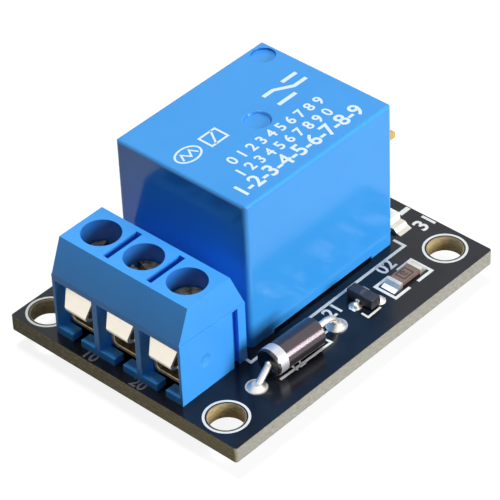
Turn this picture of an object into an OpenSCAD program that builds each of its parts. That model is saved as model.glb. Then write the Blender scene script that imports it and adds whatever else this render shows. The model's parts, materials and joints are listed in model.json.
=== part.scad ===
// Single-channel relay module: a circuit board with a three-way screw terminal, a sealed
// changeover relay, its driver transistor, flyback diode, status lamp and right-angle pin header.
//
// Lengths are millimetres. X runs along the board from the screw terminal to the header, Z is up.
// The origin is the centre of the mounting-hole pattern, on the underside of the board.

/* [Board] */
// Length of the board beyond the relay
board_end = 4.99; // [4.9:0.01:9]
// Width of the board along Y
board_w = 27.1; // [26.8:0.1:36]
// Thickness of the board
board_t = 1.6; // [1:0.1:2.4]
// Radius of the board's corners
board_r = 0.3; // [0.1:0.1:2]
// Distance between mounting holes along X
hole_dx = 29.3; // [29:0.1:30]
// Distance between mounting holes along Y
hole_dy = 21.4; // [21:0.1:22]
// Diameter of the mounting holes, clearance for M3
hole_d = 3.3; // [2.6:0.1:3.4]
// From the mounting holes to the edge under the wire entries
edge_x = 2.5; // [2.2:0.1:4]
// From the mounting holes to the edge beside the diode
edge_y = 3.36; // [3:0.02:5]
// Length of every lead left below the board after trimming
lead_stick = 1.9; // [1.4:0.1:3]

/* [Screw terminal] */
// Distance from pole to pole
pitch = 5.08; // [5:0.04:5.2]
// From the board's edge to the front of the terminal
term_inset = 1.05; // [0.5:0.05:1.5]
// Offset of the terminal's middle from the mounting pattern
term_off_y = 0.59; // [0:0.01:1]
// Depth of the housing from front to back
term_d = 8.15; // [8:0.05:9]
// Height of the housing
term_h = 10.07; // [9.9:0.01:12]
// Height at which the front begins to slope
term_shoulder = 6.69; // [6.4:0.01:7.5]
// Depth of the front slope
term_slope = 1.31; // [0.8:0.01:1.7]
// Depth of the rear slope
term_rear_slope = 1.6; // [1:0.05:2]
// Height of the rear shoulder
term_rear_h = 6.4; // [6:0.1:7.5]
// Depth of the step round the top of the terminal's ends
term_end_step = 0.07; // [0.04:0.01:0.15]
// Thickness of the fins between neighbouring wire entries
fin_t = 0.6; // [0.4:0.05:0.9]
// Height of the sill below the wire entries
sill_h = 0.75; // [0.4:0.05:0.9]
// Width of the gap in the sill at each pole
sill_gap = 1.05; // [0.6:0.05:2]
// Height of the top of the wire entries
mouth_top = 6.05; // [5.9:0.05:6.2]
// Depth of the wire entries in front of the clamp cages
mouth_d = 1.15; // [1.15:0.05:1.4]
// Diameter of the screwdriver wells
well_d = 3.66; // [3.6:0.02:4.2]
// From the housing's front to the screws' axes
well_x = 3.95; // [3.8:0.05:4.1]
// Width of the slots between the wells
slot_w = 0.7; // [0.4:0.05:0.9]
// Depth of the slots between the wells
slot_h = 3; // [1:0.1:3.8]

/* [Clamps] */
// Outer width of a clamp cage
cage_w = 3.9; // [3.8:0.05:4.1]
// Length of a clamp cage along the wire
cage_l = 5.1; // [4.6:0.1:5.3]
// Thickness of the cage's strip
cage_t = 0.4; // [0.3:0.05:0.45]
// Height of the cage's floor above the board
cage_z = 0.95; // [0.8:0.05:1.1]
// Outer height of a clamp cage
cage_h = 4.65; // [4.5:0.05:4.75]
// Thickness of the cage's threaded top
cage_top = 0.7; // [0.6:0.05:0.8]
// Diameter of the clamp screws' threads
screw_d = 2.9; // [2.4:0.1:2.95]
// Diameter of the clamp screws' heads
head_d = 3.4; // [3.2:0.05:3.45]
// Height of the clamp screws' heads
head_h = 1.4; // [1.1:0.05:1.5]
// Depth of a screw's head below the top of the housing, with the clamp open
head_depth = 1.7; // [1.5:0.05:1.8]
// Width of the screwdriver slots
driver_w = 0.6; // [0.4:0.05:0.9]
// How far each clamp has been screwed down
clamp_drop = [0.4, 0, 0.18];
// How far each screw has been turned, in degrees
screw_turn = [20, 75, -40];
// Thickness of the wire guards
guard_t = 0.3; // [0.2:0.05:0.35]
// Width of a wire guard where it hangs behind the housing's lip
guard_w = 3.2; // [3:0.05:3.6]
// Width of a wire guard at its lower bend
guard_low_w = 2.5; // [2.2:0.05:2.8]
// Width of the guard's arm inside the cage
guard_arm_w = 2.6; // [2.2:0.05:2.8]

/* [Relay] */
// Length of the cover
relay_l = 19.1; // [19:0.1:20]
// Width of the cover
relay_w = 15.3; // [15.2:0.1:16]
// Height of the cover's top above the board
relay_h = 15.6; // [15.5:0.1:17]
// Gap between the terminal and the relay
relay_gap = 1.11; // [0.5:0.01:1.4]
// Offset of the relay's middle from the mounting pattern
relay_off_y = 1.12; // [0.9:0.01:1.3]
// Thickness of the cover's walls
cover_t = 0.9; // [0.7:0.05:0.95]
// Radius of the cover's upright edges
cover_r = 0.5; // [0.3:0.05:0.8]
// Radius of the cover's top edges
cover_top_r = 0.35; // [0.2:0.05:0.6]
// Height of the feet at the cover's corners
foot_h = 0.3; // [0.2:0.05:0.45]
// Length of the feet at the cover's corners
foot_l = 3; // [2:0.1:4]
// Thickness of the relay's base
base_t = 1.4; // [1.2:0.1:1.4]
// Diameter of the coil's winding
coil_d = 9.6; // [8:0.1:9.8]
// Diameter of the coil's core
core_d = 4; // [3.5:0.1:4.4]
// Thickness of the yoke
yoke_t = 1; // [0.8:0.05:1.1]
// Width of the yoke and the armature
yoke_w = 8.4; // [7:0.1:8.8]
// Thickness of the contact spring
spring_t = 0.2; // [0.15:0.01:0.22]
// Diameter of the contacts
contact_d = 2.2; // [1.6:0.1:2.3]
// Distance of the contact pins from the relay's long middle plane
contact_pin_y = 6; // [5.9:0.05:6.1]

/* [Diode] */
// Distance between the diode's holes
diode_span = 10.48; // [10:0.02:11.5]
// From the board's edge to the diode's holes
diode_edge = 3.89; // [3.6:0.01:4]
// Offset of the diode's holes from the mounting pattern
diode_off_x = -5.01; // [-5.4:0.01:-4.9]
// Length of the diode's body
diode_l = 5.9; // [5:0.1:6.2]
// Diameter of the diode's body
diode_d = 2.75; // [2.4:0.05:2.9]
// Offset of the body from the middle of its leads
diode_shift = -0.64; // [-0.7:0.02:0.7]
// Angle that the body sits askew by
diode_skew = 2.6; // [0:0.1:4]
// Height of the body's axis above the board
diode_axis_h = 1.5; // [1.5:0.05:1.8]
// Diameter of the diode's leads
lead_d = 0.65; // [0.5:0.05:0.85]

/* [Surface parts] */
// Length of the transistor's body
sot_l = 2.9; // [2.7:0.1:3.1]
// Width of the transistor's body
sot_w = 1.3; // [1.2:0.05:1.4]
// Height of the transistor's body
sot_h = 1; // [0.8:0.05:1.1]
// Position of the transistor
sot_pos = [4.3, -9.8];
// Length of the transistor's base resistor
base_chip_l = 3.2; // [2.8:0.1:3.3]
// Width of the transistor's base resistor
base_chip_w = 1.6; // [1.2:0.05:1.7]
// Position of the transistor's base resistor
base_chip_pos = [9.15, -10.5];
// Length of the lamp's resistor
lamp_chip_l = 2; // [1.6:0.1:2.2]
// Width of the lamp's resistor
lamp_chip_w = 1.25; // [1:0.05:1.4]
// Distance of the lamp's resistor from the relay and from the mounting pattern
lamp_chip_pos = [2.55, -0.5];
// Height of the chip resistors
chip_h = 0.55; // [0.4:0.05:0.6]
// Length of the status lamp
lamp_l = 3.2; // [3:0.1:3.4]
// Width of the status lamp
lamp_w = 1.6; // [1.4:0.05:1.7]
// Height of the status lamp
lamp_h = 1.1; // [0.8:0.05:1.3]
// Distance of the status lamp from the relay and from the mounting pattern
lamp_pos = [1.94, -4.15];

/* [Header] */
// Distance between the header's pins
pin_pitch = 2.54; // [2.5:0.02:2.56]
// Thickness of the header's square pins
pin_t = 0.64; // [0.5:0.02:0.7]
// Height and depth of the header's plastic body
bar_t = 2.5; // [2.3:0.05:2.54]
// Length of the pins in front of the plastic body
pin_out = 6.4; // [4:0.1:8]
// Offset of the header's middle from the mounting pattern
header_off_y = 5.54; // [4.5:0.01:6]

/* [Hidden] */
$fn = 48;

poles = 3;
// Small overlap that keeps a cut clear of the face it opens
cut = 0.5;
// Clearance between a piece and the pocket that it drops into
fit = 0.05;
// Radial clearance of a screw in its threaded hole
thread_fit = 0.07;

board_x0 = -hole_dx / 2 - edge_x;
board_y0 = -hole_dy / 2 - edge_y;
term_x = board_x0 + term_inset;
board_x1 = term_x + term_d + relay_gap + relay_l + board_end;
board_l = board_x1 - board_x0;

term_l = poles * pitch;
mouth_w = pitch - fin_t;
chamber_w = cage_w + 2 * fit;
chamber_top = cage_z + cage_h + fit;
chamber_l = cage_l + 3 * fit;
cage_x = mouth_d + fit;
cage_pin = [1, 0.8];

relay_x = term_x + term_d + relay_gap + relay_l / 2;
relay_x1 = relay_x + relay_l / 2;
base_z = 0.5;
base_top = base_z + base_t;
cavity = [relay_l - 2 * cover_t, relay_w - 2 * cover_t, relay_h - cover_t];

// The relay's magnet, in the relay's own frame: X from its middle, Z from the board's face
coil_x = 0.6;
flange_l = 10.2;
flange_t = 0.85;
flange_w = 11;
pin_flange_w = 2 * contact_pin_y + 1;
barrel_d = core_d + 1.2;
coil_z0 = base_top + yoke_t;
armature_t = 1;
core_gap = 0.45;
// Height of the moving contact above and below the spring
button_top = 0.2;
button_low = 0.5;
// Travel of the moving contact, with the small gap left when it closes
contact_gap = 0.58;
contact_play = 0.03;
terminal_t = 0.4;
closed_pad_t = 0.18;
lid_gap = 0.04;
closed_low = cavity[2] - lid_gap - terminal_t - closed_pad_t;
spring_z = closed_low - contact_play - button_top - spring_t;
armature_z = spring_z - armature_t;
core_top = armature_z - core_gap;
head_t = 0.5;
core_head_d = 6;
top_flange_z = core_top - head_t - flange_t;
yoke_gap = 0.3;
yoke_foot = 3.2;
hinge_x = coil_x + flange_l / 2 + yoke_gap + yoke_t;
armature_l = 11.6;
contact_x = -6.3;
contact_end_x = -7;
common_x = hinge_x + terminal_t / 2;
common_h = 4;
terminal_w = 1.2;
coil_pin_x = 5.2;
coil_pin_d = 0.7;

diode_y = board_y0 + diode_edge;
diode_ends = [diode_off_x - diode_span / 2, diode_off_x + diode_span / 2];
diode_mid = diode_off_x + diode_shift;
bend_r = diode_axis_h;

header_x = board_x1 - bar_t;
header_leg_x = header_x - 1.5;
header_z = board_t + bar_t / 2;

lead_low = -lead_stick;
solder_h = 1.2;
solder_d = 2.2;

// Every lead that passes through the board: [x, y, diameter of its hole]
term_holes = [for (i = [0 : poles - 1]) [term_x + well_x, pole_y(i), 1.5]];
relay_holes = [
    [relay_x + common_x, relay_off_y, 1.5],
    [relay_x + contact_end_x, relay_off_y + contact_pin_y, 1.5],
    [relay_x + contact_end_x, relay_off_y - contact_pin_y, 1.5],
    [relay_x + coil_pin_x, relay_off_y + contact_pin_y, 1],
    [relay_x + coil_pin_x, relay_off_y - contact_pin_y, 1]
];
diode_holes = [for (x = diode_ends) [x, diode_y, lead_d + 0.25]];
header_holes = [for (i = [0 : 2]) [header_leg_x, header_pin_y(i), 1]];
lead_holes = concat(term_holes, relay_holes, diode_holes, header_holes);

function pole_y(i) = term_off_y + ((poles - 1) / 2 - i) * pitch;
function header_pin_y(i) = header_off_y + (1 - i) * pin_pitch;

// ---------------------------------------------------------------- shared shapes

module rounded_rect(l, w, r) {
    square([l - 2 * r, w], center = true);
    square([l, w - 2 * r], center = true);
    for (x = [-1, 1], y = [-1, 1]) translate([x * (l / 2 - r), y * (w / 2 - r)]) circle(r);
}

// A strip of metal of constant thickness that follows the points of a bent line
module ribbon(points, t) {
    for (i = [0 : len(points) - 2]) {
        step = points[i + 1] - points[i];
        translate(points[i]) rotate(atan2(step[1], step[0]))
            translate([0, -t / 2]) square([norm(step), t]);
    }
    for (i = [1 : len(points) - 2]) translate(points[i]) circle(t / 2);
}

// Extrudes an outline drawn in X and Z across a width in Y
module across(w) {
    rotate([90, 0, 0]) linear_extrude(w, center = true) children();
}

// Extrudes an outline drawn in Y and Z along X
module along(l) {
    rotate([90, 0, 90]) linear_extrude(l) children();
}

module at_terminal(i) {
    translate([term_x, pole_y(i), board_t]) children();
}

module at_relay() {
    translate([relay_x, relay_off_y, board_t]) children();
}

// One of a chip part's metal ends, wrapped round the end of its body
module chip_end(l, w, h, end_l, i) {
    rotate(i * 180) translate([(end_l - l) / 2, 0, h / 2]) difference() {
        cube([end_l, w, h], center = true);
        translate([chip_plate, 0, 0]) cube([end_l, w - 2 * chip_plate, h - 2 * chip_plate], center = true);
    }
}
chip_plate = 0.06;

module chip_core(l, w, h) {
    translate([0, 0, h / 2])
        cube([l - 2 * chip_plate, w - 2 * chip_plate, h - 2 * chip_plate], center = true);
}

// Solder drawn up against the end of a chip part
module fillet(w, h, run) {
    across(w) polygon([[0, 0], [run, 0], [run * 0.35, h * 0.35], [0, h]]);
}

// ---------------------------------------------------------------- board

module board() {
    color("darkslategray") difference() {
        translate([board_x0 + board_l / 2, board_y0 + board_w / 2, 0])
            linear_extrude(board_t) rounded_rect(board_l, board_w, board_r);
        for (x = [-1, 1], y = [-1, 1])
            translate([x * hole_dx / 2, y * hole_dy / 2, -cut]) cylinder(d = hole_d, h = board_t + 2 * cut);
        for (h = lead_holes) translate([h[0], h[1], -cut]) cylinder(d = h[2], h = board_t + 2 * cut);
    }
}

// ---------------------------------------------------------------- screw terminal

groove_x = 6.5;
groove_w = 0.7;
groove_d = 0.55;

module dovetail(w, d) {
    polygon([[-w / 2, 0], [w / 2, 0], [w / 2 + 0.15, d], [-w / 2 - 0.15, d]]);
}

module terminal_housing() {
    groove_h = term_rear_h - 0.13;
    color("deepskyblue") translate([term_x, term_off_y, board_t]) {
        difference() {
            across(term_l) polygon([
                [0, 0], [0, term_shoulder], [term_slope, term_h],
                [term_d - term_rear_slope, term_h], [term_d, term_rear_h], [term_d, 0]
            ]);
            for (i = [0 : poles - 1]) translate([0, pole_y(i) - term_off_y, 0]) pole_cut();
            for (i = [1 : poles - 1]) {
                translate([term_slope + 0.5, term_l / 2 - i * pitch - slot_w / 2, term_h - slot_h])
                    cube([term_d - term_slope - term_rear_slope - 1, slot_w, slot_h + cut]);
            }
            for (s = [-1, 1]) translate([0, s * term_l / 2, 0]) across(2 * term_end_step) polygon([
                [-cut, term_shoulder], [0, term_shoulder], [term_d, term_rear_h], [term_d + cut, term_rear_h],
                [term_d + cut, term_h + cut], [-cut, term_h + cut]
            ]);
            translate([groove_x + groove_w / 2, -term_l / 2, -cut])
                linear_extrude(groove_h + cut) dovetail(groove_w, groove_d);
            translate([groove_x, -term_l / 2 - cut, -cut]) cube([groove_w, 2 * cut, groove_h + cut]);
        }
        translate([groove_x + groove_w / 2, term_l / 2, 0])
            linear_extrude(groove_h - 0.2) dovetail(groove_w - 0.2, groove_d - 0.05);
    }
}

// The hollow of one pole: wire entry, sill gap, cage chamber and screwdriver well
module pole_cut() {
    translate([-cut, -mouth_w / 2, sill_h]) cube([mouth_d + cut, mouth_w, mouth_top - sill_h]);
    translate([-cut, -sill_gap / 2, -cut]) cube([mouth_d + 2 * cut, sill_gap, sill_h + 2 * cut]);
    translate([mouth_d, -chamber_w / 2, -cut]) cube([chamber_l, chamber_w, chamber_top + cut]);
    translate([well_x, 0, chamber_top - cut]) cylinder(d = well_d, h = term_h);
}

module clamp_cage(i) {
    color("darkgoldenrod") at_terminal(i) {
        difference() {
            translate([cage_x, 0, cage_z]) along(cage_l) difference() {
                translate([0, cage_h / 2]) rounded_rect(cage_w, cage_h, 0.6);
                translate([0, (cage_h + cage_t - cage_top) / 2])
                    rounded_rect(cage_w - 2 * cage_t, cage_h - cage_t - cage_top, 0.3);
            }
            translate([well_x, 0, cage_z + cage_h - cage_top - cut])
                cylinder(d = screw_d + 2 * thread_fit, h = cage_top + 2 * cut);
        }
        translate([well_x - cage_pin[0] / 2, -cage_pin[1] / 2, lead_low - board_t])
            cube([cage_pin[0], cage_pin[1], cage_z + cage_t / 2 + board_t - lead_low]);
    }
}

// The guard's section: a tongue that hangs behind the lip, and an arm under the screw's tip
arm_z = 3.3;
tongue_top = 5.55;
guard_line = [
    [0.95, tongue_top], [0.75, tongue_top - 0.3], [0.2, 3.9], [0.3, 3.6], [0.7, 3.35],
    [1.2, arm_z], [cage_x + cage_l - 1, arm_z]
];

module wire_guard(i) {
    color("gainsboro") at_terminal(i) translate([0, 0, -clamp_drop[i]]) intersection() {
        across(guard_w) ribbon(guard_line, guard_t);
        union() {
            along(1.2) polygon([
                [-guard_low_w / 2, 3.9], [-guard_low_w / 2, arm_z - 1], [guard_low_w / 2, arm_z - 1],
                [guard_low_w / 2, 3.9], [guard_w / 2, tongue_top], [guard_w / 2, tongue_top + 1],
                [-guard_w / 2, tongue_top + 1], [-guard_w / 2, tongue_top]
            ]);
            translate([0.9, -guard_arm_w / 2, arm_z - 1]) cube([cage_l + cage_x, guard_arm_w, 1.5]);
        }
    }
}

module terminal_screw(i) {
    head_z = term_h - head_depth - head_h;
    tip_z = arm_z + guard_t / 2 + fit;
    color("silver") at_terminal(i) translate([well_x, 0, -clamp_drop[i]]) {
        difference() {
            translate([0, 0, head_z]) {
                cylinder(d = head_d, h = head_h - 0.15);
                translate([0, 0, head_h - 0.15]) cylinder(d1 = head_d, d2 = head_d - 0.3, h = 0.15);
            }
            rotate(screw_turn[i]) translate([-head_d, -driver_w / 2, head_z + head_h / 2])
                cube([2 * head_d, driver_w, head_h]);
        }
        translate([0, 0, tip_z]) cylinder(d = screw_d, h = head_z - tip_z);
    }
}

// ---------------------------------------------------------------- relay

// One elevation of the cover, with rounded top edges
module cover_elevation(w) {
    r = cover_top_r;
    translate([-w / 2, 0]) square([w, relay_h - r]);
    translate([-w / 2 + r, 0]) square([w - 2 * r, relay_h]);
    for (s = [-1, 1]) translate([s * (w / 2 - r), relay_h - r]) circle(r);
}

vent_inset = 1.6;
vent_d = 2.3;
gate_d = 2.6;
dimple_depth = 0.3;
gate_at = [0.4, -0.05];

module relay_cover() {
    color("dodgerblue") at_relay() difference() {
        intersection() {
            linear_extrude(relay_h) rounded_rect(relay_l, relay_w, cover_r);
            across(relay_w + 2) cover_elevation(relay_l);
            translate([-relay_l / 2 - 1, 0, 0]) along(relay_l + 2) cover_elevation(relay_w);
        }
        translate([0, 0, -cut]) linear_extrude(cavity[2] + cut)
            rounded_rect(cavity[0], cavity[1], cover_r / 2);
        // The lower edge is lifted between the corner feet
        cube([relay_l - 2 * foot_l, relay_w + 2, 2 * foot_h], center = true);
        cube([relay_l + 2, relay_w - 2 * foot_l, 2 * foot_h], center = true);
        // Sealing vent in one corner and the moulding gate near the middle
        translate([relay_l / 2 - vent_inset, relay_w / 2 - vent_inset, relay_h - dimple_depth])
            cylinder(d = vent_d, h = 1);
        translate([gate_at[0], gate_at[1], relay_h - dimple_depth])
            cylinder(d1 = gate_d - 0.4, d2 = gate_d + 0.1, h = dimple_depth * 1.25);
    }
}

module relay_base() {
    color("royalblue") at_relay() difference() {
        translate([0, 0, base_z]) linear_extrude(base_t)
            rounded_rect(cavity[0] - 2 * fit, cavity[1] - 2 * fit, cover_r / 2);
        for (s = [-1, 1]) {
            contact_pin(contact_end_x, s * contact_pin_y, base_top + cut);
            translate([coil_pin_x, s * contact_pin_y, 0]) cylinder(d = coil_pin_d, h = base_top + cut);
        }
        contact_pin(common_x, 0, base_top + cut);
    }
}

// A flat terminal leg from below the board up to a given height
module contact_pin(x, y, top) {
    translate([x - terminal_t / 2, y - terminal_w / 2, lead_low - board_t])
        cube([terminal_t, terminal_w, top + board_t - lead_low]);
}

module coil_bobbin() {
    color("whitesmoke") at_relay() translate([coil_x, 0, 0]) difference() {
        union() {
            translate([-flange_l / 2, -pin_flange_w / 2, coil_z0]) cube([flange_l, pin_flange_w, flange_t]);
            translate([0, 0, coil_z0]) cylinder(d = barrel_d, h = top_flange_z - coil_z0 + flange_t);
            translate([-flange_l / 2, -flange_w / 2, top_flange_z]) cube([flange_l, flange_w, flange_t]);
        }
        translate([0, 0, coil_z0 - cut]) cylinder(d = core_d, h = relay_h);
        for (s = [-1, 1]) translate([coil_pin_x - coil_x, s * contact_pin_y, coil_z0 - cut])
            cylinder(d = coil_pin_d, h = flange_t + 2 * cut);
    }
}

module coil_winding() {
    color("peru") at_relay() translate([coil_x, 0, coil_z0 + flange_t]) difference() {
        cylinder(d = coil_d, h = top_flange_z - coil_z0 - flange_t);
        translate([0, 0, -cut]) cylinder(d = barrel_d, h = relay_h);
    }
}

module coil_core() {
    color("lightsteelblue") at_relay() translate([coil_x, 0, 0]) {
        translate([0, 0, base_top]) cylinder(d = core_d - 1, h = yoke_t);
        translate([0, 0, coil_z0]) cylinder(d = core_d, h = core_top - head_t - coil_z0);
        translate([0, 0, core_top - head_t]) cylinder(d = core_head_d, h = head_t);
    }
}

module coil_pin(i) {
    color("silver") at_relay() translate([coil_pin_x, (1 - 2 * i) * contact_pin_y, lead_low - board_t])
        cylinder(d = coil_pin_d, h = coil_z0 + flange_t + 0.8 + board_t - lead_low);
}

module yoke() {
    color("slategray") at_relay() difference() {
        union() {
            translate([coil_x - yoke_foot, -yoke_w / 2, base_top])
                cube([hinge_x - coil_x + yoke_foot, yoke_w, yoke_t]);
            translate([hinge_x - yoke_t, -yoke_w / 2, base_top])
                cube([yoke_t, yoke_w, armature_z - fit - base_top]);
        }
        translate([coil_x, 0, base_top - cut]) cylinder(d = core_d - 1, h = yoke_t + 2 * cut);
    }
}

module common_terminal() {
    color("darkgoldenrod") at_relay() contact_pin(common_x, 0, coil_z0 + common_h);
}

// A fixed terminal: a leg in one corner and an arm over or under the moving contact
module fixed_terminal(side, arm_top) {
    contact_pin(contact_end_x, side * contact_pin_y, arm_top);
    translate([contact_end_x - terminal_t / 2, min(side * (contact_pin_y + terminal_w / 2), -side * contact_d / 2),
               arm_top - terminal_t])
        cube([contact_x - contact_end_x + contact_d / 2 + terminal_t / 2,
              contact_pin_y + terminal_w / 2 + contact_d / 2, terminal_t]);
}

open_top = spring_z - button_low - contact_gap;
open_pad_t = 0.4;

module open_terminal() {
    color("darkgoldenrod") at_relay() fixed_terminal(1, open_top - open_pad_t);
}

module open_contact() {
    color("lightgray") at_relay() translate([contact_x, 0, open_top - open_pad_t])
        cylinder(d = contact_d, h = open_pad_t);
}

module closed_terminal() {
    color("darkgoldenrod") at_relay() fixed_terminal(-1, closed_low + closed_pad_t + terminal_t);
}

module closed_contact() {
    color("lightgray") at_relay() translate([contact_x, 0, closed_low])
        cylinder(d = contact_d, h = closed_pad_t);
}

rivet_d = 1.2;
rivet_x = [hinge_x - 3, hinge_x - 6.5];

module armature() {
    color("slategray") at_relay() {
        translate([hinge_x - armature_l, -yoke_w / 2, armature_z]) cube([armature_l, yoke_w, armature_t]);
        for (x = rivet_x) translate([x, 0, spring_z]) cylinder(d = rivet_d, h = spring_t + 0.2);
    }
}

spring_w = 5.2;
spring_tip_w = 2.8;
spring_tail = 3;
tail_gap = 0.1;

module contact_spring() {
    tail = tail_gap + spring_t;
    w = spring_w / 2;
    tip_w = spring_tip_w / 2;
    waist_x = rivet_x[1] - 1;
    tip_x = contact_x - contact_d / 2 - cut;
    neck_x = hinge_x - armature_l + 1;
    color("goldenrod") at_relay() difference() {
        union() {
            translate([0, 0, spring_z]) linear_extrude(spring_t) polygon([
                [hinge_x + tail, -w], [hinge_x + tail, w], [waist_x, w], [neck_x, tip_w],
                [tip_x, tip_w], [tip_x, -tip_w], [neck_x, -tip_w], [waist_x, -w]
            ]);
            translate([hinge_x + tail_gap, -w, spring_z - spring_tail])
                cube([spring_t, spring_w, spring_tail + spring_t]);
        }
        for (x = rivet_x) translate([x, 0, spring_z - cut]) cylinder(d = rivet_d, h = 2 * cut + spring_t);
        translate([contact_x, 0, spring_z - cut]) cylinder(d = contact_d / 2, h = 2 * cut + spring_t);
    }
}

module moving_contact() {
    color("lightgray") at_relay() translate([contact_x, 0, spring_z]) {
        translate([0, 0, -button_low]) cylinder(d = contact_d, h = button_low);
        cylinder(d = contact_d / 2, h = spring_t);
        translate([0, 0, spring_t]) cylinder(d = contact_d, h = button_top);
    }
}

// ---------------------------------------------------------------- diode

lead_in = 0.5;

module diode_body() {
    edge = 0.12;
    color("dimgray") difference() {
        translate([diode_mid, diode_y, board_t + diode_axis_h]) rotate([0, 90, -diode_skew]) {
            cylinder(d = diode_d, h = diode_l - 2 * edge, center = true);
            for (s = [0, 1]) mirror([0, 0, s]) translate([0, 0, diode_l / 2 - edge])
                cylinder(d1 = diode_d, d2 = diode_d - 2 * edge, h = edge);
        }
        for (i = [0, 1]) diode_lead(i);
    }
}

// The left lead slants straight from the body down to its hole, and swells a little at its bends
module slanted_lead() {
    bend_d = lead_d + 0.06;
    rise = diode_axis_h;
    run = diode_mid - diode_l / 2 - diode_ends[0];
    slant = atan2(rise, run);
    color("gainsboro") translate([diode_ends[0], diode_y, 0]) {
        translate([0, 0, lead_low]) cylinder(d = lead_d, h = board_t - lead_low);
        translate([0, 0, board_t]) sphere(d = bend_d);
        translate([0, 0, board_t]) rotate([0, 90 - slant, 0]) cylinder(d = lead_d, h = norm([rise, run]));
        translate([run, 0, board_t + rise]) sphere(d = bend_d);
        translate([run, 0, board_t + rise]) rotate([0, 90, 0]) cylinder(d = lead_d, h = lead_in);
    }
}

// The right lead runs level and then rounds a quarter bend down into its hole
module bent_lead() {
    hole_x = diode_ends[1];
    run = hole_x - diode_mid - diode_l / 2 - bend_r;
    color("gainsboro") {
        translate([hole_x, diode_y, lead_low]) cylinder(d = lead_d, h = board_t - lead_low);
        translate([hole_x - bend_r, diode_y, board_t])
            rotate([90, 0, 0]) rotate_extrude(angle = 90) translate([bend_r, 0]) circle(d = lead_d);
        translate([hole_x - bend_r, diode_y, board_t + diode_axis_h]) rotate([0, -90, 0])
            cylinder(d = lead_d, h = run + lead_in);
    }
}

module diode_lead(i) {
    if (i == 0) slanted_lead();
    if (i == 1) bent_lead();
}

// ---------------------------------------------------------------- surface parts

leg_t = 0.13;
leg_w = 0.42;
leg_pitch = 1.9;
leg_reach = 0.6;

module transistor_body() {
    z0 = 0.1;
    color("dimgray") translate([sot_pos[0], sot_pos[1], board_t]) across(sot_l) polygon([
        [-sot_w / 2 + 0.06, z0], [sot_w / 2 - 0.06, z0], [sot_w / 2, z0 + sot_h * 0.45],
        [sot_w / 2 - 0.12, z0 + sot_h], [-sot_w / 2 + 0.12, z0 + sot_h], [-sot_w / 2, z0 + sot_h * 0.45]
    ]);
}

// Side and offset of each leg: one on the left, two on the right
legs = [[-1, 0], [1, leg_pitch / 2], [1, -leg_pitch / 2]];

module at_leg(i) {
    translate([sot_pos[0], sot_pos[1] + legs[i][1], board_t])
        mirror([legs[i][0] < 0 ? 1 : 0, 0, 0]) children();
}

module transistor_leg(i) {
    x0 = sot_w / 2;
    z1 = 0.1 + sot_h * 0.45;
    color("silver") at_leg(i) across(leg_w) ribbon([
        [x0, z1], [x0 + 0.12, z1], [x0 + 0.22, leg_t / 2 + 0.02], [x0 + leg_reach, leg_t / 2 + 0.02]
    ], leg_t);
}

module at_base_chip() {
    translate([base_chip_pos[0], base_chip_pos[1], board_t]) children();
}

module at_lamp_chip() {
    translate([relay_x1 + lamp_chip_pos[0], lamp_chip_pos[1], board_t]) children();
}

module at_lamp() {
    translate([relay_x1 + lamp_pos[0], lamp_pos[1], board_t]) rotate(90) children();
}

chip_end_l = 0.4;
lamp_base_h = 0.45;
lamp_end_l = 0.5;

module base_resistor() {
    color("saddlebrown") at_base_chip() chip_core(base_chip_l, base_chip_w, chip_h);
}

module base_resistor_end(i) {
    color("gainsboro") at_base_chip() chip_end(base_chip_l, base_chip_w, chip_h, chip_end_l, i);
}

module lamp_resistor() {
    color("saddlebrown") at_lamp_chip() chip_core(lamp_chip_l, lamp_chip_w, chip_h);
}

module lamp_resistor_end(i) {
    color("gainsboro") at_lamp_chip() chip_end(lamp_chip_l, lamp_chip_w, chip_h, chip_end_l, i);
}

module lamp_base() {
    color("ivory") at_lamp() chip_core(lamp_l, lamp_w, lamp_base_h);
}

module lamp_end(i) {
    color("gainsboro") at_lamp() chip_end(lamp_l, lamp_w, lamp_base_h, lamp_end_l, i);
}

module lamp_lens() {
    l = lamp_l - 2 * lamp_end_l - 0.1;
    z0 = lamp_base_h - chip_plate;
    color("lemonchiffon") at_lamp() across(lamp_w) polygon([
        [-l / 2, z0], [l / 2, z0], [l / 2 - 0.12, lamp_h], [-l / 2 + 0.12, lamp_h]
    ]);
}

// ---------------------------------------------------------------- header

module header_bar() {
    notch = 0.5;
    color("black") difference() {
        translate([header_x, header_off_y - 1.5 * pin_pitch, board_t]) cube([bar_t, 3 * pin_pitch, bar_t]);
        for (k = [-1.5 : 1 : 1.5]) translate([header_x + bar_t / 2, header_off_y + k * pin_pitch, board_t + bar_t / 2])
            for (s = [-1, 1]) translate([0, 0, s * bar_t / 2]) rotate([0, 90, 0])
                cylinder(r = notch, h = bar_t + 2 * cut, center = true, $fn = 4);
        for (i = [0 : 2]) header_pin(i);
    }
}

// A square pin bent through a right angle behind the plastic bar
module header_pin(i) {
    r = 0.5;
    y = header_pin_y(i);
    color("khaki") {
        translate([header_leg_x + r, y - pin_t / 2, header_z - pin_t / 2])
            cube([board_x1 + pin_out - header_leg_x - r, pin_t, pin_t]);
        translate([header_leg_x + r, y + pin_t / 2, header_z - r]) rotate([90, 0, 0])
            rotate_extrude(angle = 90, start = 90) translate([r - pin_t / 2, 0]) square(pin_t);
        translate([header_leg_x - pin_t / 2, y - pin_t / 2, lead_low])
            cube([pin_t, pin_t, header_z - r - lead_low]);
    }
}

// ---------------------------------------------------------------- solder

module lead_solder(h) {
    translate([h[0], h[1], -solder_h]) cylinder(d1 = solder_d * 0.6, d2 = solder_d, h = solder_h);
}

module pad_solder(x, y) {
    translate([x, y, board_t]) {
        cylinder(d = 2, h = 0.1);
        translate([0, 0, 0.1]) cylinder(d1 = 1.7, d2 = lead_d + 0.2, h = 0.35);
    }
}

module chip_solder(l, w, h) {
    for (s = [0, 1]) mirror([s, 0, 0]) translate([l / 2, 0, 0]) fillet(w, h, 0.75);
}

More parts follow.
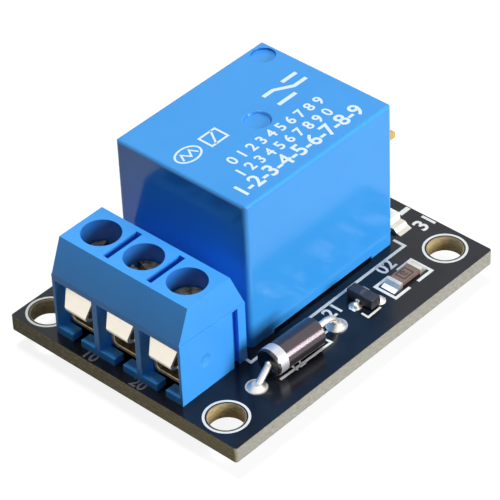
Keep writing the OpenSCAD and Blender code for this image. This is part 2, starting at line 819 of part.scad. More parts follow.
module solder_joints() {
    color("lightgray") difference() {
        union() {
            for (h = lead_holes) lead_solder(h);
            for (x = diode_ends) pad_solder(x, diode_y);
            at_base_chip() chip_solder(base_chip_l, base_chip_w, chip_h * 0.9);
            at_lamp_chip() chip_solder(lamp_chip_l, lamp_chip_w, chip_h * 0.9);
            at_lamp() chip_solder(lamp_l, lamp_w, lamp_base_h * 0.9);
            for (i = [0 : 2]) at_leg(i) translate([sot_w / 2 + leg_reach, 0, 0]) fillet(0.7, 0.3, 0.35);
        }
        for (h = term_holes) translate([h[0] - cage_pin[0] / 2, h[1] - cage_pin[1] / 2, lead_low])
            cube([cage_pin[0], cage_pin[1], -lead_low]);
        for (h = [relay_holes[0], relay_holes[1], relay_holes[2]])
            translate([h[0] - terminal_t / 2, h[1] - terminal_w / 2, lead_low])
                cube([terminal_t, terminal_w, -lead_low]);
        for (h = [relay_holes[3], relay_holes[4]]) translate([h[0], h[1], lead_low])
            cylinder(d = coil_pin_d, h = -lead_low);
        for (h = header_holes) translate([h[0] - pin_t / 2, h[1] - pin_t / 2, lead_low])
            cube([pin_t, pin_t, -lead_low]);
        for (i = [0, 1]) diode_lead(i);
    }
}

board();
terminal_housing();
for (i = [1 : poles]) {
    clamp_cage(i - 1);
    wire_guard(i - 1);
    terminal_screw(i - 1);
    header_pin(i - 1);
    transistor_leg(i - 1);
}
for (i = [1, 2]) {
    coil_pin(i - 1);
    diode_lead(i - 1);
    base_resistor_end(i - 1);
    lamp_resistor_end(i - 1);
    lamp_end(i - 1);
}
relay_cover();
relay_base();
coil_bobbin();
coil_winding();
coil_core();
yoke();
common_terminal();
open_terminal();
open_contact();
closed_terminal();
closed_contact();
armature();
contact_spring();
moving_contact();
diode_body();
transistor_body();
base_resistor();
lamp_resistor();
lamp_base();
lamp_lens();
header_bar();
solder_joints();
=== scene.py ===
"""Relay module board: the looks of its circuit board, screw terminal, relay and small parts."""
import json
import math

import bpy
from mathutils import Euler, Matrix, Vector


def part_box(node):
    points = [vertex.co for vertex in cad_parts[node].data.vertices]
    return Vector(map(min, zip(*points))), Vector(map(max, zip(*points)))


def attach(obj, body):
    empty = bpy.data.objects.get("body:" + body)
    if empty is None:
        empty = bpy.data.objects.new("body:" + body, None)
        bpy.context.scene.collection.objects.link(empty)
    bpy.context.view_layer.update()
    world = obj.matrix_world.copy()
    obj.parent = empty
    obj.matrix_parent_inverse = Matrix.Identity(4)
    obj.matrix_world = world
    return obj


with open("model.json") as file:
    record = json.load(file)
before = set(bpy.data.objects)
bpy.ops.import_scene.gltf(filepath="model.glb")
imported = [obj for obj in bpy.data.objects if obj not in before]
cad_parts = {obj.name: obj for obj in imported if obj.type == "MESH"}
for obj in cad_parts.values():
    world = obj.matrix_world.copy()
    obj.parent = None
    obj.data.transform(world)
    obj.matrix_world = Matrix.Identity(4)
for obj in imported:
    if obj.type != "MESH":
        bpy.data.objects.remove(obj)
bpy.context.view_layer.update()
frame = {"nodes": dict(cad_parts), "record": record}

MM = 0.001
POLES = "123"
nodes = frame["nodes"]


def place(node):
    """Lowest and highest corner and middle of a solid, in millimetres."""
    low, high = (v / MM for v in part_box(node))
    return low, high, (low + high) / 2


# ------------------------------------------------------------------ shader writing

class Wire:
    """A socket of a node tree, for writing shader maths as expressions."""

    def __init__(self, paint, socket):
        self.paint, self.socket = paint, socket

    def _math(self, kind, *others):
        return self.paint.node("ShaderNodeMath", {"operation": kind}, dict(enumerate(others)))

    def __add__(self, o): return self._math("ADD", self, o)
    def __radd__(self, o): return self._math("ADD", o, self)
    def __sub__(self, o): return self._math("SUBTRACT", self, o)
    def __rsub__(self, o): return self._math("SUBTRACT", o, self)
    def __mul__(self, o): return self._math("MULTIPLY", self, o)
    def __truediv__(self, o): return self._math("DIVIDE", self, o)
    def __pow__(self, o): return self._math("POWER", self, o)
    def __abs__(self): return self._math("ABSOLUTE", self)
    def larger(self, o): return self._math("MAXIMUM", self, o)

    def step(self, low, high):
        """0 below low, 1 above high and smooth between."""
        return self.paint.node("ShaderNodeMapRange", {"interpolation_type": "SMOOTHSTEP"},
                               {"Value": self, "From Min": low, "From Max": high})


class Paint:
    """The node tree of one material or world, written node by node."""

    SOCKETS = {"rough": "Roughness", "metal": "Metallic", "normal": "Normal", "spec": "Specular IOR Level",
               "sub": "Subsurface Weight", "sub_scale": "Subsurface Scale"}

    def __init__(self, owner):
        self.owner = owner
        owner.use_nodes = True
        self.tree = owner.node_tree
        self.tree.nodes.clear()
        self.column = 0

    def node(self, kind, settings=None, inputs=None, out=0):
        """Adds a node, sets and wires its inputs, and returns one of its outputs."""
        made = self.tree.nodes.new(kind)
        made.location = (180 * self.column, 0)
        self.column += 1
        for key, value in (settings or {}).items():
            setattr(made, key, value)
        for key, value in (inputs or {}).items():
            if isinstance(value, Wire):
                self.tree.links.new(value.socket, made.inputs[key])
            else:
                made.inputs[key].default_value = value
        return Wire(self, made.outputs[out]) if made.outputs else None

    def at(self, scale=(1, 1, 1)):
        """Object coordinates in millimetres, scaled along each axis."""
        plain = self.node("ShaderNodeTexCoord", out="Object")
        return self.node("ShaderNodeMapping", {}, {"Vector": plain, "Scale": tuple(s / MM for s in scale)})

    def split(self, vector):
        """The three numbers of a vector."""
        made = self.node("ShaderNodeSeparateXYZ", {}, {"Vector": vector}).socket.node
        return [Wire(self, out) for out in made.outputs]

    def axes(self):
        return self.split(self.at())

    def facing(self):
        """The surface's own direction, as three numbers."""
        return self.split(self.node("ShaderNodeNewGeometry", out="Normal"))

    def upright(self):
        """1 on upright walls and 0 on level faces."""
        return 1 - abs(self.facing()[2]).step(0.4, 0.85)

    def noise(self, scale, detail=3.0, rough=0.5, where=None, distortion=0.0):
        return self.node("ShaderNodeTexNoise", {}, {
            "Vector": where or self.at(), "Scale": scale, "Detail": detail, "Roughness": rough,
            "Distortion": distortion})

    def bands(self, axis, scale, **inputs):
        """Even waves that follow one another along an axis."""
        return self.node("ShaderNodeTexWave", {"wave_type": "BANDS", "bands_direction": axis},
                         {"Vector": self.at(), "Scale": scale, **inputs})

    def mix(self, factor, a, b):
        return self.node("ShaderNodeMix", {"data_type": "RGBA"}, {"Factor": factor, 6: a, 7: b}, out=2)

    def bump(self, height, strength, distance, under=None):
        """Relief of the given height in millimetres, laid over another if there is one."""
        inputs = {"Height": height, "Strength": strength, "Distance": distance * MM}
        if under:
            inputs["Normal"] = under
        return self.node("ShaderNodeBump", {}, inputs)

    def seen(self):
        """1 for rays that show a surface to the camera, 0 for those that only carry light."""
        made = self.node("ShaderNodeLightPath").socket.node
        camera, glossy, through = (Wire(self, made.outputs[ray]) for ray in (
            "Is Camera Ray", "Is Glossy Ray", "Is Transmission Ray"))
        return camera.larger(glossy).larger(through)

    def finish(self, colour, **sockets):
        inputs = {self.SOCKETS[k]: v for k, v in sockets.items()}
        shader = self.node("ShaderNodeBsdfPrincipled", {}, {"Base Color": colour, **inputs})
        self.node("ShaderNodeOutputMaterial", {}, {"Surface": shader})
        return self.owner


def material(name):
    return Paint(bpy.data.materials.new(name))


def tone(r, g, b):
    """A colour written as 0 to 255 on screen, as the shader's own linear numbers."""
    return tuple(c / 255 / 12.92 if c <= 10 else ((c / 255 + 0.055) / 1.055) ** 2.4 for c in (r, g, b)) + (1,)


def apart(a, b, at_a, at_b):
    """Distance from a point, measured along two axes."""
    return ((a - at_a) * (a - at_a) + (b - at_b) * (b - at_b)) ** 0.5


# ------------------------------------------------------------------ finishes

WHITE = (1, 1, 1, 1)
# Painted shade: a deeper blue drawn on the walls of hollows in the blue plastics
PAINTED_SHADE_BLUE = tone(20, 82, 176)


def moulded_plastic(name, colour, deep, rough, grain, spec=0.5, marks=None, painted_shade=None):
    """Injection-moulded plastic: faint flow tone, fine skin texture and uneven gloss, with painted shade in a deeper
    blue on the walls of its hollows where a mask for them is given.
    """
    p = material(name)
    flow = p.noise(0.16, 2, 0.5, distortion=0.6)
    skin = p.noise(9, 4, 0.6)
    soft = p.noise(1.3, 3, 0.5)
    body = p.mix(flow.step(0.3, 0.75) * 0.6, colour, deep)
    # Painted shade: the walls of hollows drawn in a deeper blue
    if painted_shade:
        body = p.mix(painted_shade(p), body, PAINTED_SHADE_BLUE)
    gloss = rough + (soft - 0.5) * 0.08 + (skin - 0.5) * 0.05
    shape = p.bump(skin, grain, 0.02, p.bump(soft, 0.06, 0.05))
    if marks:
        shape = p.bump(marks(p), 0.8, 0.12, shape)
    return p.finish(body, rough=gloss, spec=spec, normal=shape)


def ejector_dimple(p):
    """A shallow round dent in the end of the terminal, left by its mould."""
    low = place("terminal_housing")[0]
    from_front, from_foot = 3.05, 3.25
    x, y, z = p.axes()
    far = apart(x, z, low.x + from_front, low.z + from_foot)
    end = 1 - abs(y - low.y).step(0.1, 0.4)
    return 1 - end * (1 - far.step(0.25, 0.75))


def well_wall_painted_shade(p):
    """Painted shade on the upright walls of the three screw wells, drawn in a deeper blue."""
    well_edge = 1.84, 1.98
    x, y, _ = p.axes()
    near = None
    for i in POLES:
        centre = place("terminal_screw_" + i)[2]
        inside = 1 - apart(x, y, centre.x, centre.y).step(*well_edge)
        near = inside if near is None else near.larger(inside)
    return near * p.upright() * 0.6


def lid_dent_painted_shade(p):
    """Painted shade on the upright walls of the two round dents in the relay's lid, drawn in a deeper blue."""
    clear, full = 0.36, 0.30
    dent_low, dent_high = 0.34, 0.30
    low, high, mid = place("relay_cover")
    reach = (high - low) / 2
    x, y, z = p.axes()
    inner = (1 - abs(x - mid.x).step(reach.x - clear, reach.x - full)) * (
        1 - abs(y - mid.y).step(reach.y - clear, reach.y - full))
    return inner * z.step(high.z - dent_low, high.z - dent_high) * p.upright() * 0.75


board_low, board_high = place("board")[:2]
TOP = board_high.z
hole_pattern = frame["record"]["mounts"][0]["dims"]
HOLE_X, HOLE_Y = hole_pattern["spacing_x_mm"] / 2, hole_pattern["spacing_y_mm"] / 2


def solder_mask_board():
    """Dark glossy solder mask, and raw sawn laminate on every edge and hole wall.

    The two short edges run from light gold at their -Y end to a duller tone at their +Y end."""
    p = material("slate_solder_mask")
    edge_start, edge_length = -14, 27
    bare_rim, hole_wall = (1.69, 1.76), (1.7, 1.9)
    x, y, z = p.axes()
    side_x, side_z = (abs(p.facing()[i]) for i in (0, 2))
    far = apart(abs(x), abs(y), HOLE_X, HOLE_Y)
    face = side_z.step(0.55, 0.8) * far.step(*bare_rim)

    cloud = p.noise(0.35, 3, 0.5)
    weave = (p.bands("X", 0.55, Distortion=0.6, Detail=1.0)
             + p.bands("Y", 0.55, Distortion=0.6, Detail=1.0))
    mask = p.mix(cloud.step(0.3, 0.7), tone(15, 17, 23), tone(25, 28, 36))

    layers = p.noise(2.2, 5, 0.7, p.at((1, 1, 6)))
    fibre = p.noise(14, 4, 0.7, p.at((1, 1, 0.6)))
    fleck = p.noise(3.2, 4, 0.75, p.at((1, 0.6, 1)))
    end_cut = side_x.step(0.5, 0.9)
    along = (y - edge_start) / edge_length
    tint = p.mix(end_cut, tone(196, 194, 184), p.mix(along, tone(240, 226, 182), tone(186, 176, 146)))
    dark = p.mix(end_cut, tone(140, 137, 126), p.mix(along, tone(196, 178, 130), tone(112, 102, 76)))
    edge = p.mix(layers.step(0.3, 0.72), dark, tint)
    edge = p.mix(fibre.step(0.48, 0.72) * 0.7, edge, tone(88, 78, 60))
    edge = p.mix(fleck.step(0.52, 0.64) * end_cut * 0.45, edge, tone(236, 230, 206))

    bore = p.mix(layers.step(0.3, 0.7), tone(146, 124, 80), tone(218, 196, 146))
    edge = p.mix(1 - far.step(*hole_wall), edge, bore)
    skirt = abs(z - TOP / 2).step(0.70, 0.79)
    edge = p.mix(skirt * 0.55, edge, tone(88, 84, 78))

    rough = face * (0.16 + cloud * 0.10) + (1 - face) * 0.8
    height = weave * 0.02 * face + (fibre + layers) * (1 - face)
    return p.finish(p.mix(face, edge, mask), rough=rough, normal=p.bump(height, 0.45, 0.09), spec=0.34)


def bare_metal(name, colour, dull, rough, scratch=0.5, tarnish=0.35, spots=0.0):
    """Plated or bare metal: fine drawn scratches, soft tarnish and uneven polish."""
    p = material(name)
    drawn = p.noise(3, 5, 0.65, p.at((1, 1, 7)))
    cloud = p.noise(1.4, 4, 0.6)
    spot = p.noise(7, 2, 0.5).step(0.62, 0.72) * spots
    body = p.mix(cloud.step(0.35, 0.75) * tarnish, colour, dull)
    body = p.mix(spot, body, dull)
    return p.finish(body, metal=1.0, rough=rough + (drawn - 0.5) * 0.16 + cloud * 0.06 + spot * 0.2,
                    normal=p.bump(drawn * scratch + cloud * 0.3, 0.25, 0.03))


def wound_wire():
    """Enamelled copper wire wound in close turns."""
    p = material("enamelled_copper")
    turn = p.bands("Z", 3.1, **{"Distortion": 0.4, "Detail": 2.0, "Detail Scale": 2.0})
    body = p.mix(turn, tone(88, 34, 12), tone(196, 104, 52))
    return p.finish(body, rough=0.28 + turn * 0.1, metal=0.6, normal=p.bump(turn, 0.8, 0.05))


def ink(name, colour, worn=0.25):
    """Screen-printed ink: matt, slightly mottled and thin in places."""
    p = material(name)
    grain = p.noise(12, 4, 0.65)
    patch = p.noise(1.1, 3, 0.5)
    thin = tuple(c * 0.72 for c in colour[:3]) + (1,)
    body = p.mix(grain.step(0.45, 0.8) * worn, colour, thin)
    return p.finish(body, rough=0.55 + patch * 0.2, normal=p.bump(grain, 0.12, 0.01))


def epoxy(name, colour, pale, rough):
    """Moulded black epoxy: fine filler grain under a satin skin."""
    p = material(name)
    grain = p.noise(22, 3, 0.6)
    cloud = p.noise(2.4, 3, 0.5)
    body = p.mix((grain * 0.6 + cloud * 0.4).step(0.35, 0.7), colour, pale)
    return p.finish(body, rough=rough + (grain - 0.5) * 0.12, normal=p.bump(grain + cloud * 0.5, 0.3, 0.02))


def banded_diode():
    """Moulded diode: black ends, a brown-black glossy side and a silver cathode band at the left end."""
    p = material("banded_diode")
    band_start, band_end = (0.30, 0.36), (1.25, 1.31)
    grain = p.noise(20, 3, 0.6)
    worn = p.noise(3, 3, 0.6)
    from_end = p.axes()[0] - place("diode_body")[0].x
    band = from_end.step(*band_start) * (1 - from_end.step(*band_end))
    side = 1 - abs(p.facing()[0]).step(0.5, 0.8)
    body = p.mix(grain.step(0.35, 0.7), tone(72, 64, 68), tone(100, 91, 96))
    body = p.mix(side, tone(30, 29, 31), body)
    colour = p.mix(band * (0.9 + worn * 0.1), body, tone(200, 200, 203))
    return p.finish(colour, rough=0.16 + band * 0.22 + (grain - 0.5) * 0.08, metal=side * (0.7 - band * 0.3),
                    normal=p.bump(grain, 0.12, 0.02), spec=0.8)


def lamp_resin():
    """Clear cast resin over the lamp's chip, faintly yellow in the middle."""
    p = material("lamp_resin")
    mid = place("lamp_lens")[2]
    x, y, _ = p.axes()
    chip = 1 - apart(x, y, mid.x, mid.y).step(0.25, 0.75)
    cloud = p.noise(4, 3, 0.5)
    body = p.mix(cloud, tone(224, 232, 226), tone(240, 244, 236))
    body = p.mix(chip * 0.7, body, tone(236, 222, 130))
    return p.finish(body, rough=0.12 + cloud * 0.08, sub=0.2, sub_scale=0.3 * MM, normal=p.bump(cloud, 0.1, 0.03))


def ceramic_chip():
    """The brown glaze over a chip resistor's ceramic."""
    p = material("chip_resistor_glaze")
    grain = p.noise(14, 3, 0.6)
    body = p.mix(grain.step(0.4, 0.7), tone(106, 84, 74), tone(142, 120, 108))
    return p.finish(body, rough=0.22 + grain * 0.12, normal=p.bump(grain, 0.2, 0.02))


FINISHES = {
    "solder_mask": solder_mask_board(),
    # The two blue plastics carry painted shade, a deeper blue, on the walls of the terminal's screw wells and the
    # relay's lid dents
    "terminal_plastic": moulded_plastic("sky_blue_polyamide", tone(64, 162, 247), tone(58, 154, 243), 0.42, 0.14,
                                        spec=0.45, marks=ejector_dimple, painted_shade=well_wall_painted_shade),
    "relay_plastic": moulded_plastic("deep_blue_polybutylene", tone(60, 156, 234), tone(54, 150, 230), 0.15, 0.05,
                                     spec=0.32, painted_shade=lid_dent_painted_shade),
    "brass": bare_metal("clamp_brass", tone(206, 188, 152), tone(136, 112, 76), 0.34, tarnish=0.7, spots=0.3),
    "plated_steel": bare_metal("bright_plated_steel", tone(246, 239, 224), tone(230, 220, 202), 0.42, tarnish=0.25),
    "screw_steel": bare_metal("oiled_screw_steel", tone(186, 168, 142), tone(58, 46, 34), 0.26,
                              scratch=1.6, tarnish=1.0, spots=0.6),
    "soft_iron": bare_metal("soft_iron", tone(150, 150, 150), tone(96, 94, 92), 0.42),
    "bobbin_plastic": moulded_plastic("ivory_bobbin", tone(226, 224, 212), tone(214, 210, 196), 0.5, 0.2),
    "copper_wire": wound_wire(),
    "contact_silver": bare_metal("silver_contact", tone(226, 224, 218), tone(170, 164, 150), 0.3),
    "tinned_metal": bare_metal("tinned_solder", tone(214, 210, 202), tone(168, 162, 152), 0.42, spots=0.3),
    "black_epoxy": epoxy("black_epoxy", tone(34, 33, 36), tone(58, 56, 60), 0.38),
    "diode_black": banded_diode(),
    "resistor_ceramic": ceramic_chip(),
    "lamp_plastic": moulded_plastic("lamp_cream", tone(232, 230, 214), tone(220, 216, 198), 0.45, 0.15),
    "lamp_resin": lamp_resin(),
    "header_plastic": moulded_plastic("header_black", tone(26, 26, 28), tone(36, 36, 38), 0.45, 0.2),
    "gilt_pin": bare_metal("gilt_pin", tone(226, 190, 110), tone(176, 136, 70), 0.25),
    "mask_track": moulded_plastic("mask_over_copper", tone(52, 66, 92), tone(44, 56, 80), 0.22, 0.1),
    "white_ink": ink("white_board_ink", tone(222, 224, 220)),
    "relay_ink": ink("white_relay_ink", tone(216, 234, 248), 0.15),
    # Grey ink: the transistor's own grey print, and painted shade on the white board print in front of the terminal
    "painted_shade_and_grey_ink": ink("painted_shade_and_grey_print", tone(78, 80, 82), 0.4),
    "dark_ink": ink("dark_print", tone(44, 34, 32), 0.3),
}


def coat(piece, finish):
    """Gives a piece its finish."""
    piece.data.materials.clear()
    piece.data.materials.append(FINISHES[finish])


# ------------------------------------------------------------------ shaping by hand

def nothing_selected():
    if bpy.context.object and bpy.context.object.mode != "OBJECT":
        bpy.ops.object.mode_set(mode="OBJECT")
    bpy.ops.object.select_all(action="DESELECT")


def only(piece):
    nothing_selected()
    piece.select_set(True)
    bpy.context.view_layer.objects.active = piece


def settle(piece):
    """Leaves the piece at the origin, with its place in its mesh."""
    only(piece)
    bpy.ops.object.transform_apply(location=True, rotation=True, scale=True)
    return piece


def join(parts):
    nothing_selected()
    for part in parts:
        part.select_set(True)
    bpy.context.view_layer.objects.active = parts[0]
    bpy.ops.object.join()
    return parts[0]


def keep(parts, name, body, slot, finish=None):
    """Joins the parts into one finished piece, names and coats it, and hangs it on its body."""
    piece = settle(join(parts))
    piece.name = piece.data.name = name
    coat(piece, finish or slot)
    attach(piece, body)


def smooth(piece, angle=35):
    only(piece)
    bpy.ops.object.shade_smooth_by_angle(angle=math.radians(angle))


def soften(node, width):
    """Rounds the sharp edges of a solid as its mould or press leaves them."""
    solid = nodes[node]
    weld = solid.modifiers.new("weld", "WELD")
    weld.merge_threshold = 0.0005 * MM
    flat = solid.modifiers.new("flat", "DECIMATE")
    flat.decimate_type = "DISSOLVE"
    flat.angle_limit = math.radians(0.6)
    edge = solid.modifiers.new("edge", "BEVEL")
    edge.width = width * MM
    edge.segments = 2
    edge.limit_method = "ANGLE"
    edge.angle_limit = math.radians(32)
    edge.use_clamp_overlap = True
    even = solid.modifiers.new("even", "WEIGHTED_NORMAL")
    even.keep_sharp = True


for part in frame["record"]["subparts"]:
    coat(nodes[part["node"]], part["material_slot"])
coat(nodes["diode_body"], "diode_black")
for i in POLES:
    coat(nodes["terminal_screw_" + i], "screw_steel")

# Width of the softened edges, in millimetres
EDGES = {"board": 0.05, "terminal_housing": 0.12, "relay_cover": 0.04, "header_bar": 0.08, "diode_body": 0.05,
         "transistor_body": 0.05, "lamp_lens": 0.05, "base_resistor": 0.03, "lamp_resistor": 0.03}
for i in POLES:
    EDGES.update({"clamp_cage_" + i: 0.06, "wire_guard_" + i: 0.04, "terminal_screw_" + i: 0.06,
                  "header_pin_" + i: 0.05})
for node in nodes:
    smooth(nodes[node])
for node, width in EDGES.items():
    soften(node, width)

# ------------------------------------------------------------------ printing tools

# Thickness of a print, in millimetres
INK = 0.02
# How far a printed number swells, as a share of its size
LETTER_SPREAD = 0.02


def printed_line(points, width, z=TOP, close=False):
    """A flat line of ink that follows the points, mitred at its corners."""
    count = len(points)
    pts = [Vector(p) for p in points]
    left, right = [], []
    for i, p in enumerate(pts):
        before = pts[i - 1] if i or close else None
        after = pts[(i + 1) % count] if i < count - 1 or close else None
        along = [(b - a).normalized() for a, b in ((before, p), (p, after)) if a is not None and b is not None]
        side = sum((Vector((-d.y, d.x)) for d in along), Vector((0, 0))).normalized()
        reach = width / 2 / max(0.3, side.dot(Vector((-along[0].y, along[0].x))))
        left.append(p + side * reach)
        right.append(p - side * reach)
    outline = [(q.x * MM, q.y * MM, z * MM) for q in left + right]
    spans = range(count if close else count - 1)
    faces = [(i, count + i, count + (i + 1) % count, (i + 1) % count) for i in spans]
    mesh = bpy.data.meshes.new("line")
    mesh.from_pydata(outline, [], faces)
    piece = bpy.data.objects.new("line", mesh)
    bpy.context.scene.collection.objects.link(piece)
    raise_ink(piece)
    return piece


def raise_ink(piece):
    """Turns a flat print into a thin layer standing on its surface."""
    only(piece)
    bpy.ops.object.mode_set(mode="EDIT")
    bpy.ops.mesh.select_all(action="SELECT")
    bpy.ops.mesh.normals_make_consistent(inside=False)
    bpy.ops.mesh.extrude_region_move(TRANSFORM_OT_translate={"value": (0, 0, INK * MM)})
    bpy.ops.mesh.select_all(action="SELECT")
    bpy.ops.mesh.normals_make_consistent(inside=False)
    bpy.ops.object.mode_set(mode="OBJECT")


def oval(x, y, across, along, steps):
    """Points round an oval with the given half widths."""
    turns = [math.tau * i / steps for i in range(steps)]
    return [(x + across * math.cos(turn), y + along * math.sin(turn)) for turn in turns]


def printed_ring(x, y, inner, outer, z=TOP):
    middle = (inner + outer) / 2
    return printed_line(oval(x, y, middle, middle, 48), outer - inner, z, close=True)


def numeral(text, x, y, size, turn=0, z=TOP):
    """A plain printed number, lying flat."""
    nothing_selected()
    bpy.ops.object.text_add(location=(x * MM, y * MM, (z + INK / 2) * MM), rotation=(0, 0, math.radians(turn)))
    words = bpy.context.object
    words.data.body = text
    words.data.size = size * MM
    words.data.align_x = "CENTER"
    words.data.align_y = "CENTER"
    words.data.offset = LETTER_SPREAD * size * MM
    words.data.extrude = INK / 2 * MM
    words.data.resolution_u = 3
    bpy.ops.object.convert(target="MESH")
    return settle(bpy.context.object)


# ------------------------------------------------------------------ printing on the board

# A ring round each fixing hole
rings = [printed_ring(sx * HOLE_X, sy * HOLE_Y, 1.87, 2.10) for sx in (-1, 1) for sy in (-1, 1)]
keep(rings, "hole_rings", "module", "lamp_plastic", "white_ink")

# Two brackets, in front of the relay and behind it
relay_low, relay_high, relay_mid = place("relay_cover")
x0, x1 = relay_low.x - 1.3, relay_high.x + 0.33
y0, y1 = relay_low.y - 1.1, relay_high.y + 1.0
outline = [printed_line([(x0, y0 + 0.9), (x0, y0), (x1, y0), (x1, y0 + 1.3)], 0.3),
           printed_line([(x0, y1 - 1.2), (x0, y1), (x1, y1), (x1, y1 - 1.2)], 0.3)]
keep(outline, "relay_outline", "module", "lamp_plastic", "white_ink")

# A line along the diode, round its right end, and a stub to its pad
diode_low, diode_high, diode_mid = place("diode_body")
line_y, line_end = diode_mid.y - 0.9, diode_high.x + 0.85
stub_y = diode_mid.y + 0.15
marks = [printed_line([(diode_low.x + 0.45, line_y), (line_end + 0.1, line_y - 0.17), (line_end, line_y + 1.15)], 0.24),
         printed_line([(line_end, stub_y), (diode_high.x + 1.9, stub_y)], 0.22)]
keep(marks, "diode_outline", "module", "lamp_plastic", "white_ink")

# A bracket at each end of the base resistor
_, chip_high, chip_mid = place("base_resistor")
cx, cy = chip_mid.x - 0.2, chip_mid.y - 0.05
tip, reach, half = 0.55, 2.5, 1.2
brackets = [printed_line([(cx - s * tip, cy + half), (cx - s * reach, cy + half), (cx - s * reach, cy - half),
                          (cx - s * tip, cy - half)], 0.3) for s in (-1, 1)]
keep(brackets, "resistor_brackets", "module", "lamp_plastic", "white_ink")

# A corner beside the transistor, and a bar beside the lamp
sot_low, sot_high, sot_mid = place("transistor_body")
corner = [printed_line([(sot_low.x - 0.7, sot_low.y + 0.5), (sot_low.x - 0.75, sot_low.y - 0.3),
                        (sot_high.x - 0.3, sot_low.y - 0.25)], 0.22),
          printed_line([(15.8, -4.38), (17.1, -4.38)], 0.5)]
keep(corner, "transistor_corner", "module", "lamp_plastic", "white_ink")

# Plain numbers beside the parts, each with its place and size in millimetres
numbers = [numeral("21", 1.55, -8.65, 1.9), numeral("02", 9.2, -8.3, 1.9), numeral("31", 16.35, -7.0, 2.2),
           numeral("12", -5.9, -10.9, 1.5)]
keep(numbers, "board_numbers", "module", "lamp_plastic", "white_ink")

# Numbers on the strip before the terminal, white print darkened as painted shade, and a dim grey number on the
# transistor
strip = [numeral("10", -16.5, 3.7, 1.6, -90), numeral("20", -16.5, -2.1, 1.6, -90),
         numeral("3", sot_mid.x, sot_mid.y, 0.9, 90, sot_high.z)]
keep(strip, "edge_numbers", "module", "lamp_plastic", "painted_shade_and_grey_ink")

# A framed number on the base resistor
fx, fy = 0.62, 0.5
value_frame = [(chip_mid.x + sx * fx, chip_mid.y + sy * fy) for sx, sy in ((-1, -1), (1, -1), (1, 1), (-1, 1))]
value = [numeral("10", chip_mid.x, chip_mid.y, 0.75, 90, chip_high.z),
         printed_line(value_frame, 0.1, chip_high.z, close=True)]
keep(value, "resistor_value", "module", "resistor_ceramic", "dark_ink")

# ------------------------------------------------------------------ solder at the transistor's feet

# Rise as a share of the mound's height, and how much each step narrows
MOUND_STEPS = ((0.28, 0.74), (0.34, 0.72), (0.26, 0.62), (0.12, 0.35))
MOUND_HEIGHT = 0.42


def fillet(x, y, radius):
    """A small mound of solder with a concave skirt, drawn up from its pad."""
    nothing_selected()
    bpy.ops.mesh.primitive_circle_add(vertices=20, radius=radius * MM, fill_type="NGON",
                                      location=(x * MM, y * MM, TOP * MM))
    mound = settle(bpy.context.object)
    bpy.ops.object.mode_set(mode="EDIT")
    bpy.ops.mesh.select_all(action="SELECT")
    for rise, shrink in MOUND_STEPS:
        bpy.ops.mesh.extrude_region_move(TRANSFORM_OT_translate={"value": (0, 0, rise * MOUND_HEIGHT * MM)})
        bpy.ops.transform.resize(value=(shrink, shrink, 1), center_override=(x * MM, y * MM, TOP * MM))
    bpy.ops.mesh.select_all(action="SELECT")
    bpy.ops.mesh.normals_make_consistent(inside=False)
    bpy.ops.object.mode_set(mode="OBJECT")
    smooth(mound, 70)
    return mound


mounds = []
for i, radius in (("1", 0.62), ("2", 0.55), ("3", 0.6)):
    low, high, mid = place("transistor_leg_" + i)
    foot_y = low.y + 0.1 if mid.y < sot_mid.y else high.y - 0.1
    mounds.append(fillet(mid.x, foot_y, radius))
keep(mounds, "transistor_solder", "module", "tinned_metal")

# ------------------------------------------------------------------ printing on the relay
# A plain contact diagram and rows of plain numbers, where such relays carry their print

# The print is let into the lid, so that it stands almost level with it
LID = relay_high.z - 0.017
rows = [numeral("1 2 3 4 5 6 7 8 9 0", 2.2, -2.95, 1.6, z=LID), numeral("0 1 2 3 4 5 6 7 8 9", 3.0, -1.25, 1.6, z=LID),
        numeral("1-2-3-4-5-6-7-8-9", 2.2, -4.7, 2.25, z=LID)]
coil = [printed_line(oval(-4.4, 2.3, 1.35, 0.95, 40), 0.2, LID, close=True),
        printed_line([(-5.3, 1.9), (-4.9, 2.7), (-4.4, 1.9), (-3.9, 2.7), (-3.5, 1.9)], 0.18, LID),
        printed_line([(-2.2, 1.5), (-0.2, 1.5), (-0.2, 3.1), (-2.2, 3.1)], 0.22, LID, close=True),
        printed_line([(-1.7, 1.5), (-0.7, 3.1)], 0.2, LID)]
contacts = [printed_line([(5.9, 2.9), (7.2, 2.9), (8.9, 1.9), (10.5, 1.9)], 0.4, LID),
            printed_line([(8.6, 3.1), (10.5, 3.1)], 0.4, LID),
            printed_line([(5.9, 1.1), (8.2, 1.1)], 0.4, LID)]
keep(rows + coil + contacts, "relay_printing", "module", "relay_plastic", "relay_ink")

# ------------------------------------------------------------------ under the board
# Broad tracks from the relay's contacts to the terminal, and finer ones for the coil's driver

# From the relay's middle to its two rows of pins
PIN_SIDE = 6
# Widths of the tracks
BROAD, BROADEST, FINE = 2.4, 2.6, 0.8


def track(points, width):
    """A copper track under the solder mask, on the underside."""
    return printed_line(points, width, board_low.z - INK)


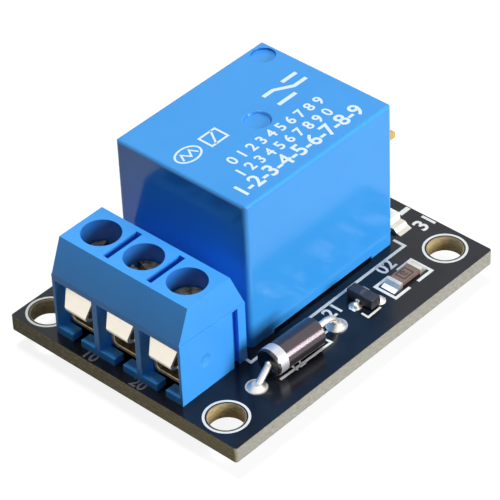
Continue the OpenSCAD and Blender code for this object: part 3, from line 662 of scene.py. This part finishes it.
poles = [(place("terminal_screw_1")[2].x, place("clamp_cage_" + i)[2].y) for i in POLES]
left_y, right_y = relay_mid.y + PIN_SIDE, relay_mid.y - PIN_SIDE
contact_x = place("open_terminal")[0].x + 0.2
coil_x = place("coil_pin_1")[2].x
common = (place("common_terminal")[2].x, relay_mid.y)
header_low, _, header_mid = place("header_pin_2")
header_leg = (header_low.x + 0.32, header_mid.y)
diode_pad = (place("diode_lead_2")[1].x - 0.3, diode_mid.y)
tracks = [track([poles[0], (contact_x, left_y)], BROAD),
          track([poles[2], (contact_x, right_y)], BROAD),
          track([poles[1], common], BROADEST),
          track([(coil_x, left_y), (header_leg[0] - 1.6, left_y), header_leg], FINE),
          track([(coil_x, right_y), (3.6, relay_mid.y - 8.4), diode_pad], FINE)]
keep(tracks, "copper_tracks", "module", "solder_mask", "mask_track")
centres = [(contact_x, left_y), (contact_x, right_y), (coil_x, left_y), (coil_x, right_y), common] + poles
pads = [printed_ring(x, y, 1.0, 1.3, board_low.z - 1.5 * INK) for x, y in centres]
keep(pads, "pad_rims", "module", "tinned_metal")

# ------------------------------------------------------------------ floor, light and camera

# How far the leads stand below the board
LEAD_END = 1.9


def grey(level):
    return (level, level, level, 1)


def studio():
    """A pale floor and a dim room, both white wherever the camera sees them."""
    nothing_selected()
    bpy.ops.mesh.primitive_plane_add(size=3, location=(0, 0, (board_low.z - LEAD_END) * MM))
    floor = bpy.context.object
    floor.name = "floor"
    p = material("studio_floor")
    seen = p.seen()
    paper = p.node("ShaderNodeBsdfDiffuse", {}, {"Color": p.mix(seen, grey(0.10), grey(0.21))})
    glow = p.node("ShaderNodeEmission", {}, {"Color": WHITE, "Strength": seen * 0.87})
    both = p.node("ShaderNodeAddShader", {}, {0: paper, 1: glow})
    p.node("ShaderNodeOutputMaterial", {}, {"Surface": both})
    floor.data.materials.append(p.owner)

    world = bpy.data.worlds.new("studio")
    bpy.context.scene.world = world
    p = Paint(world)
    level = p.node("ShaderNodeMapRange", {}, {"Value": p.seen(), "To Min": 0.06, "To Max": 1.0})
    sky = p.node("ShaderNodeBackground", {}, {"Color": WHITE, "Strength": level})
    p.node("ShaderNodeOutputWorld", {}, {"Surface": sky})


def softbox(name, place_at, look_at, size, power):
    light = bpy.data.lights.new(name, "AREA")
    light.shape = "RECTANGLE"
    light.size, light.size_y = size
    light.energy = power
    lamp = bpy.data.objects.new(name, light)
    bpy.context.scene.collection.objects.link(lamp)
    lamp.location = Vector(place_at)
    lamp.rotation_euler = (Vector(look_at) - Vector(place_at)).to_track_quat("-Z", "Y").to_euler()


studio()
softbox("right_softbox", (0.12, -0.44, 0.14), (0, 0, 0.005), (0.26, 0.22), 2.7)
softbox("overhead_softbox", (-0.01, 0.05, 0.50), (0, 0, 0), (0.14, 0.14), 1.75)

# The camera's place in millimetres and its turn in degrees
EYE_AT = (-142.36, -136.85, 166.12)
EYE_TURN = (50.766, 2.039, -47.859)
camera = bpy.data.cameras.new("camera")
camera.sensor_width = 36
camera.lens = 206.5
camera.clip_start = 0.01
eye = bpy.data.objects.new("camera", camera)
bpy.context.scene.collection.objects.link(eye)
eye.matrix_world = (Matrix.Translation(Vector(EYE_AT) * MM)
                    @ Euler([math.radians(a) for a in EYE_TURN]).to_matrix().to_4x4())
bpy.context.scene.camera = eye
bpy.context.scene.view_settings.view_transform = "Standard"
